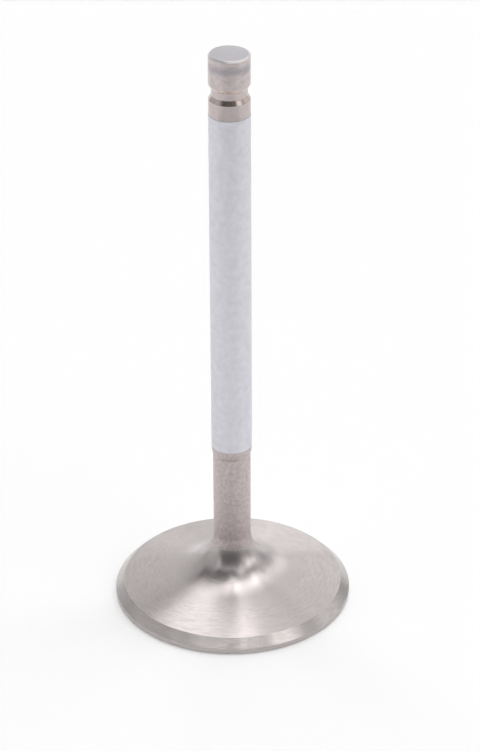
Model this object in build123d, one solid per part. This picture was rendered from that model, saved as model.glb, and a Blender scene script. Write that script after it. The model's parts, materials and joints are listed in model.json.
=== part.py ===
from build123d import *
import math
import os

# Intake valve of a piston engine, turned and ground from one piece of stainless steel.
#
# The axis of the stem is Z. The valve stands on its combustion face: the origin is the centre
# of that face, and the tip of the stem points up. Lengths are in millimetres and angles in
# degrees. Every radius below the tip follows from the stem and the head, so each size can be
# changed by itself.

# ---- Driving dimensions ----------------------------------------------------------------

overall_length = 127.9      # combustion face to the end of the tip

# Head
head_diameter = 51.04
margin_height = 1.27        # straight rim between the combustion face and the seat
seat_width = 1.82           # ground seat, measured along the radius
seat_angle = 45.0           # seat, from the plane of the combustion face
back_angle = 14.0           # back of the head, from the plane of the combustion face
face_edge_break = 0.2       # bevel round the combustion face

# Neck and undercut
neck_radius = 8.8           # tighter arc of the neck, which meets the stem
sweep_radius = 15.0         # wider arc of the neck, which meets the back of the head
neck_break_angle = 35.0     # slope at which one arc passes into the other
undercut_depth = 0.275      # relief of the port end of the stem, on the radius
shoulder_radius = 8.0       # rounded run-out where the undercut meets the full stem

# Stem and its hard-chrome plating
stem_diameter = 8.674       # over the plating, which runs in the valve guide
plating_thickness = 0.03
plating_feather = 0.15      # length over which the plating thins out at each end
plating_start = 36.9        # lower end of the plating, above the combustion face

# Collar, keeper groove and tip, going up from the plating
collar_length = 3.3         # bare ring between the plating and the groove
groove_flank = 0.95         # each tapered flank, measured along the stem
groove_floor = 1.45         # flat floor between the flanks
groove_depth = 0.55         # on the radius
groove_root_radius = 0.2
tip_length = 6.4            # upper edge of the groove to the end of the tip
tip_chamfer = 0.35

# ---- Radii and heights that follow from them -------------------------------------------

head_radius = head_diameter / 2
seat_inner_radius = head_radius - seat_width
seat_top = margin_height + seat_width * math.tan(math.radians(seat_angle))

plated_radius = stem_diameter / 2
bare_radius = plated_radius - plating_thickness
undercut_radius = bare_radius - undercut_depth
groove_radius = bare_radius - groove_depth

# How far each arc of the neck reaches outwards, and how far it comes down.
back_slope = math.radians(back_angle)
break_slope = math.radians(neck_break_angle)
neck_reach = neck_radius * (1 - math.sin(break_slope))
neck_drop = neck_radius * math.cos(break_slope)
sweep_reach = sweep_radius * (math.sin(break_slope) - math.sin(back_slope))
sweep_drop = sweep_radius * (math.cos(back_slope) - math.cos(break_slope))

# The straight back rises from the seat to the foot of the sweep, and the neck stands on that.
sweep_foot_radius = undercut_radius + neck_reach + sweep_reach
sweep_foot = seat_top + (seat_inner_radius - sweep_foot_radius) * math.tan(back_slope)
neck_top = sweep_foot + sweep_drop + neck_drop

groove_top = overall_length - tip_length
groove_bottom = groove_top - groove_floor - 2 * groove_flank
plating_end = groove_bottom - collar_length

# Part of a turn that the run-out takes to sink from the full stem to the undercut.
shoulder_turn = math.degrees(math.acos(1 - undercut_depth / shoulder_radius))


# ---- Half section, as (radius, height) points from the centre of the face to the tip ---

def head_outline():
    """Combustion face, straight margin and ground seat."""
    return Polyline(
        (0, 0),
        (head_radius, 0),
        (head_radius, margin_height),
        (seat_inner_radius, seat_top),
    )


def shoulder_outline():
    """Rounded run-out, from the bare stem under the plating down to the undercut."""
    return JernArc(
        start=(bare_radius, plating_start),
        tangent=(0, -1),
        radius=shoulder_radius,
        arc_size=-shoulder_turn,
    )


def neck_outline(shoulder_foot):
    """Undercut stem, two tangent arcs that open like a tulip, and the straight back."""
    Line(shoulder_foot, (undercut_radius, neck_top))
    neck = JernArc(
        start=(undercut_radius, neck_top),
        tangent=(0, -1),
        radius=neck_radius,
        arc_size=90 - neck_break_angle,
    )
    sweep = JernArc(
        start=neck @ 1,
        tangent=neck % 1,
        radius=sweep_radius,
        arc_size=neck_break_angle - back_angle,
    )
    Line(sweep @ 1, (seat_inner_radius, seat_top))


def plating_outline():
    """Plated bearing length of the stem, with its feathered ends."""
    return Polyline(
        (bare_radius, plating_start),
        (plated_radius, plating_start + plating_feather),
        (plated_radius, plating_end - plating_feather),
        (bare_radius, plating_end),
    )


def keeper_groove_outline():
    """Bare collar, then the groove with tapered flanks and rounded roots."""
    return FilletPolyline(
        (bare_radius, plating_end),
        (bare_radius, groove_bottom),
        (groove_radius, groove_bottom + groove_flank),
        (groove_radius, groove_top - groove_flank),
        (bare_radius, groove_top),
        radius=(0, groove_root_radius, groove_root_radius),
    )


def tip_outline():
    """Hardened tip, closed along the axis back to the centre of the combustion face."""
    return Polyline(
        (bare_radius, groove_top),
        (bare_radius, overall_length),
        (0, overall_length),
        (0, 0),
    )


def make_valve():
    """One solid: the half section turned about the axis, then its two outer edges bevelled."""
    with BuildPart() as valve:
        with BuildSketch(Plane.XZ):
            with BuildLine():
                head_outline()
                shoulder = shoulder_outline()
                neck_outline(shoulder @ 1)
                plating_outline()
                keeper_groove_outline()
                tip_outline()
            make_face()
        revolve(axis=Axis.Z)
        chamfer(valve.faces().sort_by(Axis.Z)[-1].edges(), length=tip_chamfer)
        chamfer(valve.faces().sort_by(Axis.Z)[0].edges(), length=face_edge_break)
    return valve.part


os.makedirs("parts", exist_ok=True)
export_step(make_valve(), "parts/valve.step")
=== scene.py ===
"""Engine intake valve: one turned piece of stainless steel with a hard-chrome band on its stem.

The valve stands on its combustion face on a pale table, under soft studio light. The file is laid
out as an add-on: property groups hold the sizes and finishes, one operator turns the valve, one
sets the table, and a panel lists them. Lengths are in metres and angles in radians.
"""

import json
import math
from types import SimpleNamespace
from typing import NamedTuple

import bpy
from mathutils import Matrix, Quaternion, Vector


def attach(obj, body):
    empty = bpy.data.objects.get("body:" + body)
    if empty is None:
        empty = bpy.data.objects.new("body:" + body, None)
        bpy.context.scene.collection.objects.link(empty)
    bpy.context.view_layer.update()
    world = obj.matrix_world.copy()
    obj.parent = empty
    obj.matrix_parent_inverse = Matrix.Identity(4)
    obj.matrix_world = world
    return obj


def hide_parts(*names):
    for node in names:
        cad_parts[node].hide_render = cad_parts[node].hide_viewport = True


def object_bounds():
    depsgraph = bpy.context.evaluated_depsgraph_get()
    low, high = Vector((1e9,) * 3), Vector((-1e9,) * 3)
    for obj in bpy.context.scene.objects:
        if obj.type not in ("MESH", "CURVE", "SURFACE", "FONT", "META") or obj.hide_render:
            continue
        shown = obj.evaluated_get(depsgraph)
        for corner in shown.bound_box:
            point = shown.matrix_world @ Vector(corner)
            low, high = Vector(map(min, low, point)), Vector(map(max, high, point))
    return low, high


bl_info = {
    "name": "Engine Valve",
    "version": (1, 0, 0),
    "blender": (4, 5, 0),
    "location": "View3D > Sidebar > Valve",
    "description": "Turns an engine valve with its metal finishes and lights it on a studio table",
    "category": "Add Mesh",
}

MM = 0.001
NODE = "valve"
BODY = "root"

# The turned mesh: its faces round the axis, the steps of each rounded corner, and the distance
# below which two points or two heights count as one.
SEGMENTS = 256
LEAST_ROUNDING_STEPS = 4
ROUNDING_STEPS_PER_METRE = 6000
WELD = 0.001 * MM

# The noise of every skin: its middle grey, and how many finer layers the marks and patches have.
MIDDLE_GREY = 0.5
MARK_DETAIL = 2
PATCH_DETAIL = 3

# The tangent of a surface runs round the axis, and its highlight widens a quarter turn from it.
ACROSS_MARKS = 0.25

# The table lies just under the valve's face and reaches this far to each side, front and rear.
TABLE_DROP = 0.02 * MM
TABLE_HALF_WIDTH = 1.2
TABLE_FRONT = 0.22
TABLE_REAR = 2.4

# The walls of the light tent fade into its roof between these two elevations, which are kept
# as the height of a direction one unit long.
ROOF_FOOT = math.sin(math.radians(40))
ROOF_TOP = math.sin(math.radians(48))

# The camera looks down, from straight in front, on a point a little below the valve's middle.
# Its lens and sensor are in millimetres.
LENS = 149.47
SENSOR = 36
CAMERA_AIM = (1.84 * MM, 0, 53.78 * MM)
CAMERA_DISTANCE = 658.25 * MM
CAMERA_ELEVATION = math.radians(29.96)
CAMERA_ROLL = math.radians(-0.29)

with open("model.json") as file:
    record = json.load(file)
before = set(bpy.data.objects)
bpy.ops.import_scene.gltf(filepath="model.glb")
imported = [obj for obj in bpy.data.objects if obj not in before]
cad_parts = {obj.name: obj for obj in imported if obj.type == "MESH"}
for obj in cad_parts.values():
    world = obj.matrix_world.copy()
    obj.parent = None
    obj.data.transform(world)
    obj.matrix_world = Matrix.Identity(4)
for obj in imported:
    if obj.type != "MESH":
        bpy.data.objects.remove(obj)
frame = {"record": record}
CAD_LOW, CAD_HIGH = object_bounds()
STEM = next(mount for mount in frame["record"]["mounts"] if mount["name"] == "stem")
STEM_MIDDLE = STEM["pos_m"][2]
STEM_HALF = STEM["dims"]["length_mm"] * MM / 2


# ---- Sizes and finishes that a user would change ---------------------------------------


def length(name, description, default):
    """A length property, in metres."""
    return bpy.props.FloatProperty(
        name=name, description=description, default=default, min=0, unit="LENGTH", precision=5
    )


def angle(name, description, degrees):
    """An angle property, kept in radians."""
    return bpy.props.FloatProperty(
        name=name, description=description, default=math.radians(degrees), unit="ROTATION"
    )


def share(name, description, default):
    """A property between 0 and 1."""
    return bpy.props.FloatProperty(
        name=name, description=description, default=default, min=0, max=1, subtype="FACTOR"
    )


def tint(name, description, red, green, blue):
    """A colour property, in linear red, green and blue."""
    return bpy.props.FloatVectorProperty(
        name=name,
        description=description,
        default=(red, green, blue, 1),
        size=4,
        min=0,
        max=1,
        subtype="COLOR",
    )


class HeadSizes(bpy.types.PropertyGroup):
    """The round head that closes the port."""

    head_radius: length("Head radius", "From the axis to the rim", CAD_HIGH.x)
    margin_height: length("Margin", "Straight rim between the face and the seat", 1.27 * MM)
    seat_width: length("Seat width", "Ground seat, along the radius", 1.82 * MM)
    seat_angle: angle("Seat angle", "Seat, from the plane of the face", 45)
    back_angle: angle("Back angle", "Back of the head, from the plane of the face", 14)
    sweep_radius: length("Sweep radius", "Wider arc, from the back of the head", 15 * MM)
    neck_radius: length("Neck radius", "Tighter arc, into the stem", 8.8 * MM)
    neck_break: angle("Neck break", "Slope at which one arc passes into the other", 35)
    face_bevel: length("Face bevel", "Bevel round the combustion face", 0.2 * MM)


class StemSizes(bpy.types.PropertyGroup):
    """The stem, its plating and the undercut above the neck."""

    overall_length: length("Overall length", "From the face to the tip", CAD_HIGH.z)
    plated_radius: length("Plated radius", "Over the plating", STEM["dims"]["r_mm"] * MM)
    plating_thickness: length("Plating", "Thickness of the hard chrome", 0.03 * MM)
    plating_feather: length("Feather", "Length over which the plating thins out", 0.15 * MM)
    plating_start: length("Plating start", "Lower end of the plating", STEM_MIDDLE - STEM_HALF)
    plating_end: length("Plating end", "Upper end of the plating", STEM_MIDDLE + STEM_HALF)
    undercut_start: length("Undercut start", "Where the duller undercut begins", 12.5 * MM)
    undercut_depth: length("Undercut", "Relief below the plating, on the radius", 0.275 * MM)
    shoulder_radius: length("Shoulder", "Rounded run-out of the undercut", 8 * MM)


class TipSizes(bpy.types.PropertyGroup):
    """The keeper groove and the tip above it."""

    tip_length: length("Tip length", "From the groove to the end of the tip", 6.4 * MM)
    groove_flank: length("Flank", "Each tapered flank, along the stem", 0.95 * MM)
    groove_floor: length("Floor", "Flat floor between the flanks", 1.45 * MM)
    groove_depth: length("Groove depth", "Depth of the groove, on the radius", 0.55 * MM)
    root_radius: length("Root radius", "Where each flank meets the floor", 0.2 * MM)
    tip_bevel: length("Tip bevel", "Bevel round the end of the tip", 0.35 * MM)
    broken_edge: length("Broken edge", "Radius left on every sharp corner", 0.05 * MM)


class Finishes(bpy.types.PropertyGroup):
    """Colours of the metals, a painted highlight and painted shade among them, how dull each
    surface is, and the heights where a finish changes.
    """

    steel: tint("Steel", "Bare turned steel", 0.50, 0.459, 0.455)
    dull_steel: tint("Dull steel", "Undercut and collar", 0.532, 0.468, 0.462)
    seat_steel: tint("Seat steel", "Ground seat", 0.533, 0.497, 0.485)
    chrome: tint("Chrome", "Hard-chrome plating", 0.70, 0.69, 0.737)
    # This colour is far darker than the chrome: painted shade, the thin shadow line at each end of
    # the plating.
    plating_edge: tint("Plating edge", "Where the plating thins out", 0.40, 0.38, 0.40)
    groove_steel: tint("Groove steel", "Flanks of the keeper groove", 0.56, 0.475, 0.435)
    hardened_steel: tint("Hardened steel", "Hardened end of the stem", 0.54, 0.485, 0.48)
    heat_tint: tint("Heat tint", "Band that the hardening has darkened", 0.40, 0.37, 0.39)
    tip_steel: tint("Tip steel", "Ground end of the tip", 0.52, 0.505, 0.53)
    # This colour is lighter than the other steels: a painted highlight along the tip's bevel.
    bevel_steel: tint("Bevel steel", "Bright bevel of the tip", 0.72, 0.69, 0.69)
    head_roughness: share("Head roughness", "Turned back of the head", 0.32)
    neck_roughness: share("Neck roughness", "Sweep of the neck", 0.26)
    undercut_roughness: share("Undercut roughness", "Bare stem below the plating", 0.35)
    chrome_roughness: share("Chrome roughness", "Hard-chrome plating", 0.48)
    seat_roughness: share("Seat roughness", "Ground seat", 0.2)
    tip_roughness: share("Tip roughness", "Ground tip and collar", 0.2)
    flank_roughness: share("Flank roughness", "Flanks of the keeper groove", 0.2)
    marks_fade: length("Marks fade", "Where the turning marks begin to fade out", 4.8 * MM)
    smooth_start: length("Smooth start", "Where they are gone and the neck gets smoother", 6 * MM)
    smooth_end: length("Smooth end", "Where the neck is at its smoothest", 8 * MM)
    tint_middle: length("Tint middle", "Height at which the heat tint is darkest", 125.6 * MM)
    tint_reach: length("Tint reach", "How far the heat tint spreads up and down", 1.6 * MM)


class Studio(bpy.types.PropertyGroup):
    """The white table and the plain walls of the light tent round it."""

    background: tint("Background", "What the camera sees round the valve", 1, 1, 1)
    table_glow: share("Table glow", "Share of the table's white that shadows leave alone", 0.3)
    rear_wall: share("Rear wall", "Light from behind the valve", 0.6)
    left_wall: share("Left wall", "Light from the left", 0.1)
    right_wall: share("Right wall", "Light from the right", 0.36)
    front_wall: share("Front wall", "Light from the camera's side", 0.14)
    roof: share("Roof", "Light from above, between the softboxes", 0.0)
    floor: share("Floor", "Light from the floor, below the table's front edge", 0.75)


SIZES = {"valve_head": HeadSizes, "valve_stem": StemSizes, "valve_tip": TipSizes}
SETTINGS = {**SIZES, "valve_finishes": Finishes, "valve_studio": Studio}


# ---- Short ways to write node trees ----------------------------------------------------


class Number:
    """A number that a node tree works out: arithmetic on it adds Math nodes."""

    def __init__(self, tree, socket):
        self.tree = tree
        self.socket = socket

    def math(self, operation, *others):
        """The result of one Math node, with this number as its first input."""
        feeds = dict(enumerate((self, *others)))
        node = add_node(self.tree, "ShaderNodeMath", feeds, operation=operation)
        return Number(self.tree, node.outputs[0])

    def __add__(self, other):
        return self.math("ADD", other)

    def __sub__(self, other):
        return self.math("SUBTRACT", other)

    def __rsub__(self, other):
        return -self + other

    def __neg__(self):
        return self * -1

    def __mul__(self, other):
        return self.math("MULTIPLY", other)

    def __truediv__(self, other):
        return self.math("DIVIDE", other)


def feed(tree, socket, source):
    """Gives a socket a plain value, or links another socket or a Number to it."""
    if isinstance(source, Number):
        source = source.socket
    if isinstance(source, bpy.types.NodeSocket):
        tree.links.new(source, socket)
    else:
        socket.default_value = source


def feed_node(tree, node, feeds):
    """Feeds a node's inputs, which are named or numbered."""
    for name, source in feeds.items():
        feed(tree, node.inputs[name], source)


def add_node(tree, kind, feeds=None, **settings):
    """Adds a node, sets its properties and feeds its inputs."""
    node = tree.nodes.new(kind)
    for name, value in settings.items():
        setattr(node, name, value)
    feed_node(tree, node, feeds or {})
    return node


def coordinates(tree, kind):
    """Where a point is, if the kind is Object, or the way a world is looked at, if Generated."""
    return add_node(tree, "ShaderNodeTexCoord").outputs[kind]


def along_axis(tree, vector, axis):
    """A vector's X, Y or Z, as a Number of the tree."""
    parts = add_node(tree, "ShaderNodeSeparateXYZ", {"Vector": vector})
    return Number(tree, parts.outputs[axis])


def vector_math(tree, operation, *sources):
    """The node of one vector operation."""
    return add_node(tree, "ShaderNodeVectorMath", dict(enumerate(sources)), operation=operation)


def dot(tree, first, second):
    """The dot product of two vectors."""
    return Number(tree, vector_math(tree, "DOT_PRODUCT", first, second).outputs["Value"])


def levelled(tree, vector):
    """A vector without its height."""
    return vector_math(tree, "MULTIPLY", vector, (1, 1, 0)).outputs[0]


def scaled(tree, vector, factor):
    """A vector or colour times a number."""
    feeds = {"Vector": vector, "Scale": factor}
    return add_node(tree, "ShaderNodeVectorMath", feeds, operation="SCALE").outputs[0]


def eased(tree, value, start, end):
    """A Number that passes softly from 0 to 1 as a value passes from the start to the end."""
    feeds = {"Value": value, "From Min": start, "From Max": end}
    node = add_node(tree, "ShaderNodeMapRange", feeds, interpolation_type="SMOOTHSTEP")
    return Number(tree, node.outputs[0])


def mixed_colour(tree, part, first, second):
    """A colour that passes from the first to the second as the part grows from 0 to 1."""
    # A Mix node has sockets for every kind of data: 6 and 7 take colours, and 2 gives one.
    mix = add_node(tree, "ShaderNodeMix", {0: part, 6: first, 7: second}, data_type="RGBA")
    return mix.outputs[2]


# ---- The valve's shape: a half section turned about the axis ---------------------------


def valve_levels(size):
    """Radii and heights that follow from the sizes, as Numbers of the tree."""
    level = SimpleNamespace()
    level.seat_inner = size.head_radius - size.seat_width
    level.seat_top = size.margin_height + size.seat_width * size.seat_angle.math("TANGENT")
    level.bare = size.plated_radius - size.plating_thickness
    level.undercut = level.bare - size.undercut_depth
    # Both arcs of the neck touch one slanting line, between its corners at the hip and waist.
    turn_above = (math.pi / 2 - size.neck_break) / 2
    turn_below = (size.neck_break - size.back_angle) / 2
    slant = size.neck_radius * turn_above.math("TANGENT")
    slant = slant + size.sweep_radius * turn_below.math("TANGENT")
    level.hip_radius = level.undercut + slant * size.neck_break.math("COSINE")
    rise = (level.seat_inner - level.hip_radius) * size.back_angle.math("TANGENT")
    level.hip = level.seat_top + rise
    level.waist = level.hip + slant * size.neck_break.math("SINE")
    level.bevel_foot = size.overall_length - size.tip_bevel
    level.groove_top = size.overall_length - size.tip_length
    level.floor_top = level.groove_top - size.groove_flank
    level.floor_bottom = level.floor_top - size.groove_floor
    level.groove_bottom = level.floor_bottom - size.groove_flank
    level.floor = level.bare - size.groove_depth
    return level


def valve_corners(size, level):
    """Corners of the half section, from the centre of the face to the centre of the tip.

    Each corner is its radius from the axis, its height above the face and the radius that
    rounds it.
    """
    edge = size.broken_edge
    # The undercut's run-out leaves the stem along it and turns until it is deep enough.
    turn = (1 - size.undercut_depth / size.shoulder_radius).math("ARCCOSINE")
    knee = size.plating_start - size.shoulder_radius * (turn / 2).math("TANGENT")
    foot = size.plating_start - size.shoulder_radius * turn.math("SINE")
    return [
        (0, 0, 0),
        (size.head_radius - size.face_bevel, 0, edge),
        (size.head_radius, size.face_bevel, edge),
        (size.head_radius, size.margin_height, edge),
        (level.seat_inner, level.seat_top, edge),
        (level.hip_radius, level.hip, size.sweep_radius),
        (level.undercut, level.waist, size.neck_radius),
        (level.undercut, foot, 0),
        (level.bare, knee, size.shoulder_radius),
        (level.bare, size.plating_start, 0),
        (size.plated_radius, size.plating_start + size.plating_feather, 0),
        (size.plated_radius, size.plating_end - size.plating_feather, 0),
        (level.bare, size.plating_end, 0),
        (level.bare, level.groove_bottom, edge),
        (level.floor, level.floor_bottom, size.root_radius),
        (level.floor, level.floor_top, size.root_radius),
        (level.bare, level.groove_top, edge),
        (level.bare, level.bevel_foot, edge),
        (level.bare - size.tip_bevel, size.overall_length, edge),
        (0, size.overall_length, 0),
    ]


def by_index(tree, data_type, sources):
    """A field that gives each point the source whose place in the list is its index."""
    index = add_node(tree, "GeometryNodeInputIndex").outputs[0]
    switch = add_node(tree, "GeometryNodeIndexSwitch", {"Index": index}, data_type=data_type)
    while len(switch.index_switch_items) < len(sources):
        switch.index_switch_items.new()
    for place, source in enumerate(sources):
        feed(tree, switch.inputs[str(place)], source)
    return switch.outputs[0]


def half_section(tree, corners):
    """The rounded half section as a curve, with radius along X and height along Y."""
    places = [
        add_node(tree, "ShaderNodeCombineXYZ", {"X": radius, "Y": height}).outputs[0]
        for radius, height, _ in corners
    ]
    points = add_node(
        tree,
        "GeometryNodePoints",
        {"Count": len(corners), "Position": by_index(tree, "VECTOR", places)},
    )
    line = add_node(tree, "GeometryNodePointsToCurves", {"Points": points.outputs[0]})
    rounding = by_index(tree, "FLOAT", [corner_radius for _, _, corner_radius in corners])
    # A large radius gets more steps, so that its arc is as smooth as the small ones.
    steps = Number(tree, rounding) * ROUNDING_STEPS_PER_METRE + LEAST_ROUNDING_STEPS
    fillet = add_node(
        tree,
        "GeometryNodeFilletCurve",
        {"Curve": line.outputs[0], "Count": steps, "Radius": rounding, "Limit Radius": False},
        mode="POLY",
    )
    return fillet.outputs[0]


def turn_section(tree, section, head_radius):
    """Turns the half section about the axis and welds its two ends into poles."""
    path = add_node(
        tree, "GeometryNodeCurvePrimitiveCircle", {"Resolution": SEGMENTS, "Radius": head_radius}
    )
    # The profile is carried round on the rim's circle, and its second axis points down there.
    inwards = add_node(tree, "ShaderNodeCombineXYZ", {"X": -head_radius})
    placed = add_node(
        tree,
        "GeometryNodeTransform",
        {"Geometry": section, "Translation": inwards.outputs[0], "Scale": (1, -1, 1)},
    )
    swept = add_node(
        tree,
        "GeometryNodeCurveToMesh",
        {"Curve": path.outputs["Curve"], "Profile Curve": placed.outputs[0]},
    )
    welded = add_node(
        tree, "GeometryNodeMergeByDistance", {"Geometry": swept.outputs[0], "Distance": WELD}
    )
    return add_node(tree, "GeometryNodeSetShadeSmooth", {"Geometry": welded.outputs[0]}).outputs[0]


def finish_zones(size, level):
    """Where each finish starts, from the face up: its material's name and its lowest height.

    The zones of the face and of the tip's end are flat, so each is as thin as a weld.
    """
    return [
        ("Turned Face", None),
        ("Turned Margin", WELD),
        ("Ground Sealing Face", size.margin_height),
        ("Turned Head", level.seat_top),
        ("Relieved Stem", size.undercut_start),
        # Both ends of the plating get the darker finish below, which is painted shade.
        ("Plating Edge", size.plating_start),
        ("Hard Chrome", size.plating_start + size.plating_feather),
        ("Plating Edge", size.plating_end - size.plating_feather),
        ("Turned Collar", size.plating_end),
        ("Polished Flank", level.groove_bottom),
        ("Turned Collar", level.floor_bottom),
        ("Polished Flank", level.floor_top),
        ("Hardened Tip", level.groove_top),
        # The bevel round the tip's end gets the lighter finish below, which is a painted highlight.
        ("Tip Bevel", level.bevel_foot),
        ("Ground Tip End", size.overall_length - WELD),
    ]


def size_names():
    """The owner, the key and the shown name of each of the valve's sizes."""
    for owner, group in SIZES.items():
        for key in group.__annotations__:
            yield owner, key, group.bl_rna.properties[key].name


def valve_tree():
    """The valve's Geometry Nodes: named sizes in, one closed mesh with its finishes out."""
    tree = bpy.data.node_groups.new("Turned Valve", "GeometryNodeTree")
    for _, _, name in size_names():
        tree.interface.new_socket(name, in_out="INPUT", socket_type="NodeSocketFloat")
    tree.interface.new_socket("Valve", in_out="OUTPUT", socket_type="NodeSocketGeometry")
    inputs = add_node(tree, "NodeGroupInput")
    size = SimpleNamespace()
    for _, key, name in size_names():
        setattr(size, key, Number(tree, inputs.outputs[name]))
    level = valve_levels(size)
    section = half_section(tree, valve_corners(size, level))
    mesh = turn_section(tree, section, size.head_radius)
    mesh = add_node(tree, "GeometryNodeRealizeInstances", {"Geometry": mesh}).outputs[0]
    height = along_axis(tree, add_node(tree, "GeometryNodeInputPosition").outputs[0], "Z")
    for name, start in finish_zones(size, level):
        feeds = {"Geometry": mesh, "Material": bpy.data.materials[name]}
        if start is not None:
            above = add_node(
                tree, "FunctionNodeCompare", {0: height, 1: start}, operation="GREATER_THAN"
            )
            feeds["Selection"] = above.outputs[0]
        mesh = add_node(tree, "GeometryNodeSetMaterial", feeds).outputs[0]
    add_node(tree, "NodeGroupOutput", {"Valve": mesh})
    return tree


def plain_mesh(name, tree, values):
    """Runs a tree on an empty mesh and keeps its result as an object with no modifiers."""
    source = bpy.data.objects.new(name + "_source", bpy.data.meshes.new(name + "_source"))
    bpy.context.scene.collection.objects.link(source)
    modifier = source.modifiers.new("Turned", "NODES")
    modifier.node_group = tree
    for item in tree.interface.items_tree:
        if item.in_out == "INPUT":
            modifier[item.identifier] = values[item.name]
    source.modifiers.new("Flat faces keep their shading", "WEIGHTED_NORMAL")
    evaluated = source.evaluated_get(bpy.context.evaluated_depsgraph_get())
    mesh = bpy.data.meshes.new_from_object(evaluated)
    mesh.name = name
    piece = bpy.data.objects.new(name, mesh)
    bpy.context.scene.collection.objects.link(piece)
    bpy.data.objects.remove(source)
    return piece


# ---- Surface effects that the finishes share -------------------------------------------


def new_group(name, inputs):
    """An empty shader node group, and its named inputs."""
    group = bpy.data.node_groups.new(name, "ShaderNodeTree")
    for socket, kind in inputs.items():
        group.interface.new_socket(socket, in_out="INPUT", socket_type="NodeSocket" + kind)
    node = add_node(group, "NodeGroupInput")
    return group, {socket: Number(group, node.outputs[socket]) for socket in inputs}


def close_group(group, results):
    """Gives a group its outputs: for each name, the kind of socket and what feeds it."""
    for socket, (kind, _) in results.items():
        group.interface.new_socket(socket, in_out="OUTPUT", socket_type="NodeSocket" + kind)
    feeds = {socket: source for socket, (_, source) in results.items()}
    add_node(group, "NodeGroupOutput", feeds)


def place_group(tree, name, feeds):
    """A shader node group in a tree, with its own values."""
    return add_node(tree, "ShaderNodeGroup", feeds, node_tree=bpy.data.node_groups[name])


def make_turning_marks():
    """Marks of the lathe, which run round the axis, as noise about a middle grey."""
    group, given = new_group("Turning Marks", {"Marks Around": "Float", "Mark Spacing": "Float"})
    position = coordinates(group, "Object")
    level = levelled(group, position)
    radius = Number(group, vector_math(group, "LENGTH", level).outputs["Value"])
    around = scaled(group, vector_math(group, "NORMALIZE", level).outputs[0], given["Marks Around"])
    height = along_axis(group, position, "Z")
    along = add_node(group, "ShaderNodeCombineXYZ", {"Z": height / given["Mark Spacing"]})
    noise = add_node(
        group,
        "ShaderNodeTexNoise",
        {
            "Vector": vector_math(group, "ADD", around, along.outputs[0]).outputs[0],
            "W": radius / given["Mark Spacing"],
            "Scale": 1,
            "Detail": MARK_DETAIL,
        },
        noise_dimensions="4D",
    )
    close_group(group, {"Marks": ("Float", noise.outputs[0])})


def make_mottle():
    """Soft patches of a given size, as noise about a middle grey."""
    group, given = new_group("Mottle", {"Patch Size": "Float"})
    noise = add_node(
        group,
        "ShaderNodeTexNoise",
        {
            "Vector": coordinates(group, "Object"),
            "Scale": given["Patch Size"].math("POWER", -1),
            "Detail": PATCH_DETAIL,
        },
    )
    close_group(group, {"Patches": ("Float", noise.outputs[0])})


def make_machined_skin():
    """Turning marks and mottle laid over a metal's plain colour and roughness.

    A dark mark or patch is duller too. The relief is that of the marks alone.
    """
    group, given = new_group(
        "Machined Skin",
        {
            "Colour": "Color",
            "Roughness": "Float",
            "Marks Around": "Float",
            "Mark Spacing": "Float",
            "Mark Contrast": "Float",
            "Patch Size": "Float",
            "Patch Contrast": "Float",
        },
    )
    own = {name: given[name] for name in ("Marks Around", "Mark Spacing")}
    marks = Number(group, place_group(group, "Turning Marks", own).outputs["Marks"])
    relief = (marks - MIDDLE_GREY) * given["Mark Contrast"]
    mottle = place_group(group, "Mottle", {"Patch Size": given["Patch Size"]})
    patches = Number(group, mottle.outputs["Patches"])
    shade = relief + (patches - MIDDLE_GREY) * given["Patch Contrast"]
    colour = scaled(group, given["Colour"], shade + 1)
    roughness = given["Roughness"] * (1 - shade)
    close_group(
        group,
        {
            "Colour": ("Color", colour),
            "Roughness": ("Float", roughness),
            "Relief": ("Float", relief),
        },
    )


def make_fade():
    """A share that grows from 0 to 1 between two heights, upwards or downwards."""
    group, given = new_group("Fade", {"Start": "Float", "End": "Float"})
    height = along_axis(group, coordinates(group, "Object"), "Z")
    close_group(group, {"Share": ("Float", eased(group, height, given["Start"], given["End"]))})


def fade(tree, start, end):
    """How far a point has come from one height to the other, as a Number of the tree."""
    return Number(tree, place_group(tree, "Fade", {"Start": start, "End": end}).outputs["Share"])


# ---- Finishes --------------------------------------------------------------------------


class Skin(NamedTuple):
    """What the tool has left on a surface: marks round the axis, and soft patches.

    Marks Around is the number of marks in one radian. The contrasts are shares of the metal's
    colour, and the depth is the height of a mark whose contrast is 1.
    """

    marks_around: float
    mark_spacing: float
    mark_contrast: float
    mark_depth: float
    patch_size: float
    patch_contrast: float


class Finish(NamedTuple):
    """One surface: its colour and roughness in Finishes, its skin and its anisotropy."""

    colour: str
    roughness: str
    skin: Skin
    anisotropy: float


# Marks around, mark spacing, mark contrast, mark depth, patch size, patch contrast.
TURNED = Skin(10, 0.35 * MM, 0.5, 0.002 * MM, 2 * MM, 0.12)
GROUND = Skin(12, 0.15 * MM, 0.35, 0.003 * MM, 1 * MM, 0.15)
HARDENED = Skin(5, 0.5 * MM, 0.45, 0.002 * MM, 1.5 * MM, 0.3)
POLISHED = Skin(9, 1.5 * MM, 0.6, 0.002 * MM, 1 * MM, 0.1)
DULL = Skin(12, 0.3 * MM, 0.2, 0.005 * MM, 0.7 * MM, 0.55)
CLOUDY = Skin(20, 0.3 * MM, 0.1, 0, 1.4 * MM, 0.22)

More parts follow.
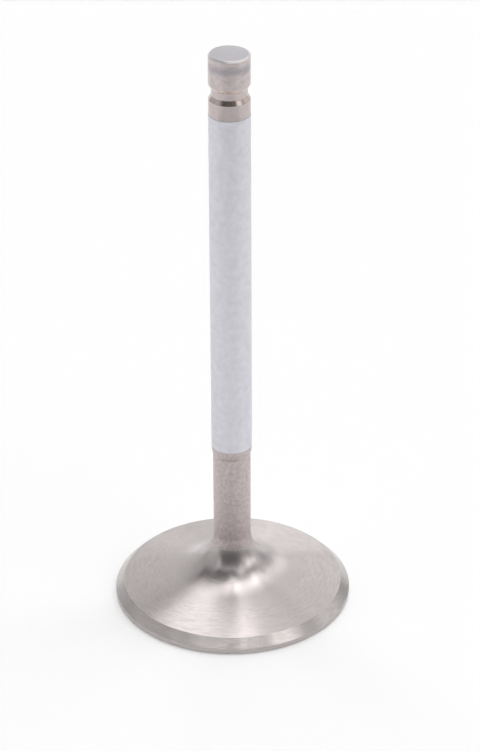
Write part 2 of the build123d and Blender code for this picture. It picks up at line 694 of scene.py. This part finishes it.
# Colour, roughness, skin, anisotropy.
FINISHES = {
    "Turned Face": Finish("steel", "head_roughness", TURNED, 0.6),
    "Turned Margin": Finish("steel", "head_roughness", TURNED, 0.6),
    "Ground Sealing Face": Finish("seat_steel", "seat_roughness", GROUND, 0.5),
    "Turned Head": Finish("steel", "head_roughness", TURNED, 0.8),
    "Relieved Stem": Finish("dull_steel", "undercut_roughness", DULL, 0.7),
    # The plating's ends take a darker colour: painted shade of a shadow line.
    "Plating Edge": Finish("plating_edge", "chrome_roughness", CLOUDY, 0),
    "Hard Chrome": Finish("chrome", "chrome_roughness", CLOUDY, 0),
    "Turned Collar": Finish("dull_steel", "tip_roughness", GROUND, 0.5),
    "Polished Flank": Finish("groove_steel", "flank_roughness", POLISHED, 0),
    "Hardened Tip": Finish("hardened_steel", "tip_roughness", HARDENED, 0.5),
    # The tip's bevel takes a lighter colour: a painted highlight.
    "Tip Bevel": Finish("bevel_steel", "undercut_roughness", GROUND, 0.8),
    "Ground Tip End": Finish("tip_steel", "tip_roughness", GROUND, 0),
}


def make_metal(name, finish, look):
    """Makes a bare metal under its machined skin, and returns the node of that skin.

    Anisotropy widens the highlight across the marks, which run round the axis.
    """
    material = bpy.data.materials.new(name)
    material.use_nodes = True
    tree = material.node_tree
    skin = finish.skin
    skin_feeds = {
        "Colour": getattr(look, finish.colour),
        "Roughness": getattr(look, finish.roughness),
        "Marks Around": skin.marks_around,
        "Mark Spacing": skin.mark_spacing,
        "Mark Contrast": skin.mark_contrast,
        "Patch Size": skin.patch_size,
        "Patch Contrast": skin.patch_contrast,
    }
    surface = place_group(tree, "Machined Skin", skin_feeds)
    relief = {"Height": surface.outputs["Relief"], "Distance": skin.mark_depth}
    tangent = add_node(tree, "ShaderNodeTangent", direction_type="RADIAL", axis="Z")
    shader_feeds = {
        "Base Color": surface.outputs["Colour"],
        "Metallic": 1,
        "Roughness": surface.outputs["Roughness"],
        "Normal": add_node(tree, "ShaderNodeBump", relief).outputs[0],
        "Anisotropic": finish.anisotropy,
        "Anisotropic Rotation": ACROSS_MARKS,
        "Tangent": tangent.outputs[0],
    }
    feed_node(tree, tree.nodes["Principled BSDF"], shader_feeds)
    return surface


def smooth_neck(surface, look):
    """Turns the head's finish into the smoother one of its neck, bit by bit as it rises."""
    tree = surface.id_data
    marks = fade(tree, look.smooth_start, look.marks_fade) * TURNED.mark_contrast
    feed(tree, surface.inputs["Mark Contrast"], marks)
    rise = fade(tree, look.smooth_start, look.smooth_end)
    roughness = rise * (look.neck_roughness - look.head_roughness) + look.head_roughness
    feed(tree, surface.inputs["Roughness"], roughness)


def tint_tip(surface, look):
    """Darkens a soft band round the hardened tip."""
    tree = surface.id_data
    rise = fade(tree, look.tint_middle - look.tint_reach, look.tint_middle)
    fall = fade(tree, look.tint_middle, look.tint_middle + look.tint_reach)
    tinted = mixed_colour(tree, rise - fall, look.hardened_steel, look.heat_tint)
    feed(tree, surface.inputs["Colour"], tinted)


def make_finishes(look):
    """Every finish of the valve."""
    make_turning_marks()
    make_mottle()
    make_machined_skin()
    make_fade()
    surfaces = {name: make_metal(name, finish, look) for name, finish in FINISHES.items()}
    smooth_neck(surfaces["Turned Head"], look)
    tint_tip(surfaces["Hardened Tip"], look)


# ---- Table and light -------------------------------------------------------------------


class Softbox(NamedTuple):
    """A soft rectangle of light, far off, as seen from the valve; angles are in degrees.

    Azimuth is 0 on the camera's side and grows towards the camera's right. The roll lowers the
    end whose azimuth is greater. The softness is how wide the faded edge is.
    """

    azimuth: float
    elevation: float
    roll: float
    width: float
    height: float
    softness: float
    strength: float


# Azimuth, elevation, roll, width, height, softness, strength. Most of these values are those of
# a fitting program, rounded, and so are the levels of the walls and the roof's two elevations.
SOFTBOXES = {
    "Overhead": Softbox(172, 80, 0, 6, 25, 5, 6.2),
    "Overhead left": Softbox(-150, 78, -15, 7, 27, 5, 6),
    "Overhead right": Softbox(124, 75, -66, 36, 10, 5, 6),
    "High right": Softbox(126, 51, -70, 7, 23, 7, 3.8),
    "Right lamp": Softbox(126, 61, 0, 14, 8, 6, 1.3),
    "Rear left strip": Softbox(-170, 53, 60, 8, 42, 12, 3.1),
    "Rear left lamp": Softbox(-143, 61, 0, 6, 16, 5, 1.6),
    "Rear right strip": Softbox(147, 30, 47, 39, 5, 5, 3.7),
    "Low rear strip": Softbox(171, 13, 22, 15, 5, 5, 3.8),
    "Low rear lamp": Softbox(-168, 2, 0, 10, 6, 5, 1.8),
    "Rear left panel": Softbox(-153, 24, 13, 60, 58, 5, 0.32),
    "Left panel": Softbox(-88, 21, -50, 64, 46, 17, 0.55),
    "Right panel": Softbox(110, 17, -40, 12, 32, 38, 1.2),
    "Front arch": Softbox(-31, 52, -18, 57, 3.5, 5, 3.4),
    "Upper window": Softbox(44, 58, 49, 20, 3.5, 5, 5.4),
    "Window head": Softbox(30, 50, 41, 27, 3.5, 5, 3.1),
    "Window": Softbox(68, 38, 45, 28, 5, 12, 4.3),
    "Window post": Softbox(57, 27, 100, 3.5, 27, 5, 2.5),
    "Low window": Softbox(90, 25, 25, 24, 3.5, 6, 4.7),
}


def make_softbox():
    """A softbox's light in the direction that the world is looked at."""
    axes = ("Facing", "Across", "Upright")
    values = ("Half Width", "Half Height", "Softness", "Strength")
    inputs = {**dict.fromkeys(axes, "Vector"), **dict.fromkeys(values, "Float")}
    group, given = new_group("Softbox", inputs)
    direction = coordinates(group, "Generated")
    depth = dot(group, direction, given["Facing"])
    light = given["Strength"] * depth.math("GREATER_THAN", 0)
    for axis, half in (("Across", "Half Width"), ("Upright", "Half Height")):
        offset = (dot(group, direction, given[axis]) / depth).math("ABSOLUTE")
        half_edge = given["Softness"] / 2
        light = light * eased(group, offset, given[half] + half_edge, given[half] - half_edge)
    close_group(group, {"Light": ("Float", light)})


def softbox_light(tree, box):
    """The light of one softbox, as a Number of the world's tree."""
    # Before its turns it stands on the camera's side, level and upright.
    turn = (
        Matrix.Rotation(math.radians(box.azimuth), 3, "Z")
        @ Matrix.Rotation(-math.radians(box.elevation), 3, "X")
        @ Matrix.Rotation(math.radians(box.roll), 3, "Y")
    )
    feeds = {
        "Facing": -turn.col[1],
        "Across": turn.col[0],
        "Upright": turn.col[2],
        "Half Width": math.tan(math.radians(box.width / 2)),
        "Half Height": math.tan(math.radians(box.height / 2)),
        "Softness": math.tan(math.radians(box.softness)),
        "Strength": box.strength,
    }
    return Number(tree, place_group(tree, "Softbox", feeds).outputs["Light"])


def wall_light(tree, studio):
    """The light of the tent's walls, which fade into each other and, upwards, into its roof."""
    direction = coordinates(tree, "Generated")
    level = vector_math(tree, "NORMALIZE", levelled(tree, direction)).outputs[0]
    walls = {
        (0, 1, 0): studio.rear_wall,
        (0, -1, 0): studio.front_wall,
        (-1, 0, 0): studio.left_wall,
        (1, 0, 0): studio.right_wall,
    }
    light = 0
    # The squares of the dot products add up to 1, so each wall fades evenly into the next.
    for side, strength in walls.items():
        light = dot(tree, level, side).math("MAXIMUM", 0).math("POWER", 2) * strength + light
    height = along_axis(tree, direction, "Z")
    above = eased(tree, height, ROOF_FOOT, ROOF_TOP)
    light = light * (1 - above) + above * studio.roof
    below = height.math("LESS_THAN", 0)
    return light * (1 - below) + below * studio.floor


def ray_kinds(tree):
    """Whether a ray is a reflection, and whether the camera sent it, as Numbers of the tree."""
    path = add_node(tree, "ShaderNodeLightPath").outputs
    return Number(tree, path["Is Glossy Ray"]), Number(tree, path["Is Camera Ray"])


def make_tent(scene, studio):
    """The light tent as the scene's world.

    The camera sees only the plain background. So do reflections that look down past the
    table's rear edge. The others show the tent's lights, its walls and its floor.
    """
    make_softbox()
    world = bpy.data.worlds.new("tent")
    scene.world = world
    world.use_nodes = True
    tree = world.node_tree
    light = wall_light(tree, studio)
    for box in SOFTBOXES.values():
        light = light + softbox_light(tree, box)
    direction = coordinates(tree, "Generated")
    downwards = along_axis(tree, direction, "Z").math("LESS_THAN", 0)
    rearwards = along_axis(tree, direction, "Y").math("GREATER_THAN", 0)
    reflected, from_camera = ray_kinds(tree)
    plain = downwards * rearwards * reflected + from_camera
    shown = mixed_colour(tree, plain, light, studio.background)
    feed(tree, tree.nodes["Background"].inputs["Color"], shown)


def table_material(studio):
    """A white table that glows a little, so that its shadows stay pale; clear from below."""
    material = bpy.data.materials.new("Table")
    material.use_nodes = True
    material.cycles.emission_sampling = "NONE"
    tree = material.node_tree
    tree.nodes.clear()
    reflected, from_camera = ray_kinds(tree)
    glow = add_node(
        tree,
        "ShaderNodeEmission",
        {"Color": studio.background, "Strength": (reflected + from_camera) * studio.table_glow},
    )
    colour = [channel * (1 - studio.table_glow) for channel in studio.background[:3]]
    matt = add_node(tree, "ShaderNodeBsdfDiffuse", {"Color": (*colour, 1)})
    top = add_node(tree, "ShaderNodeAddShader", {0: glow.outputs[0], 1: matt.outputs[0]})
    clear = add_node(tree, "ShaderNodeBsdfTransparent")
    from_below = add_node(tree, "ShaderNodeNewGeometry").outputs["Backfacing"]
    surface = add_node(
        tree, "ShaderNodeMixShader", {0: from_below, 1: top.outputs[0], 2: clear.outputs[0]}
    )
    add_node(tree, "ShaderNodeOutputMaterial", {"Surface": surface.outputs[0]})
    return material


def make_table(scene, studio):
    """A plain flat table, just clear of the valve's face, which stands over it."""
    side = TABLE_HALF_WIDTH
    corners = [(-side, -TABLE_FRONT), (side, -TABLE_FRONT), (side, TABLE_REAR), (-side, TABLE_REAR)]
    mesh = bpy.data.meshes.new("table")
    mesh.from_pydata([(x, y, -TABLE_DROP) for x, y in corners], [], [range(len(corners))])
    mesh.materials.append(table_material(studio))
    table = bpy.data.objects.new("table", mesh)
    scene.collection.objects.link(table)


def make_camera(scene):
    """The camera of a product portrait, looking down on the valve."""
    data = bpy.data.cameras.new("portrait")
    data.sensor_width = SENSOR
    data.lens = LENS
    camera = bpy.data.objects.new("portrait", data)
    scene.collection.objects.link(camera)
    aim = Vector(CAMERA_AIM)
    back = -CAMERA_DISTANCE * math.cos(CAMERA_ELEVATION)
    place = Vector((0, back, aim.z + CAMERA_DISTANCE * math.sin(CAMERA_ELEVATION)))
    camera.location = place
    camera.rotation_mode = "QUATERNION"
    gaze = (aim - place).to_track_quat("-Z", "Y")
    camera.rotation_quaternion = gaze @ Quaternion((0, 0, 1), CAMERA_ROLL)
    scene.camera = camera


# ---- Operators -------------------------------------------------------------------------


class VALVE_OT_turn(bpy.types.Operator):
    """Turn the valve from its half section and give it its finishes"""

    bl_idname = "valve.turn"
    bl_label = "Turn Valve"

    def execute(self, context):
        scene = context.scene
        make_finishes(scene.valve_finishes)
        values = {name: getattr(getattr(scene, owner), key) for owner, key, name in size_names()}
        piece = plain_mesh("turned_valve", valve_tree(), values)
        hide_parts(NODE)
        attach(piece, BODY)
        return {"FINISHED"}


class VALVE_OT_stage(bpy.types.Operator):
    """Lay the table, put the light tent up and set the camera"""

    bl_idname = "valve.stage"
    bl_label = "Set Table"

    def execute(self, context):
        scene = context.scene
        make_table(scene, scene.valve_studio)
        make_tent(scene, scene.valve_studio)
        make_camera(scene)
        scene.view_settings.view_transform = "Standard"
        return {"FINISHED"}


class VALVE_PT_panel(bpy.types.Panel):
    """Sizes of the valve and the buttons that build it"""

    bl_idname = "VALVE_PT_panel"
    bl_label = "Engine Valve"
    bl_space_type = "VIEW_3D"
    bl_region_type = "UI"
    bl_category = "Valve"

    def draw(self, context):
        for owner, group in SETTINGS.items():
            box = self.layout.box()
            for key in group.__annotations__:
                box.prop(getattr(context.scene, owner), key)
        self.layout.operator(VALVE_OT_turn.bl_idname)
        self.layout.operator(VALVE_OT_stage.bl_idname)


CLASSES = (*SETTINGS.values(), VALVE_OT_turn, VALVE_OT_stage, VALVE_PT_panel)


def register():
    """Registers the classes and puts the sizes on the scene."""
    for item in CLASSES:
        bpy.utils.register_class(item)
    for owner, group in SETTINGS.items():
        setattr(bpy.types.Scene, owner, bpy.props.PointerProperty(type=group))


def unregister():
    """Takes the sizes off the scene and unregisters the classes."""
    for owner in SETTINGS:
        delattr(bpy.types.Scene, owner)
    for item in reversed(CLASSES):
        bpy.utils.unregister_class(item)


def main():
    """Builds everything."""
    register()
    bpy.ops.valve.turn()
    bpy.ops.valve.stage()


if __name__ == "__main__":
    main()
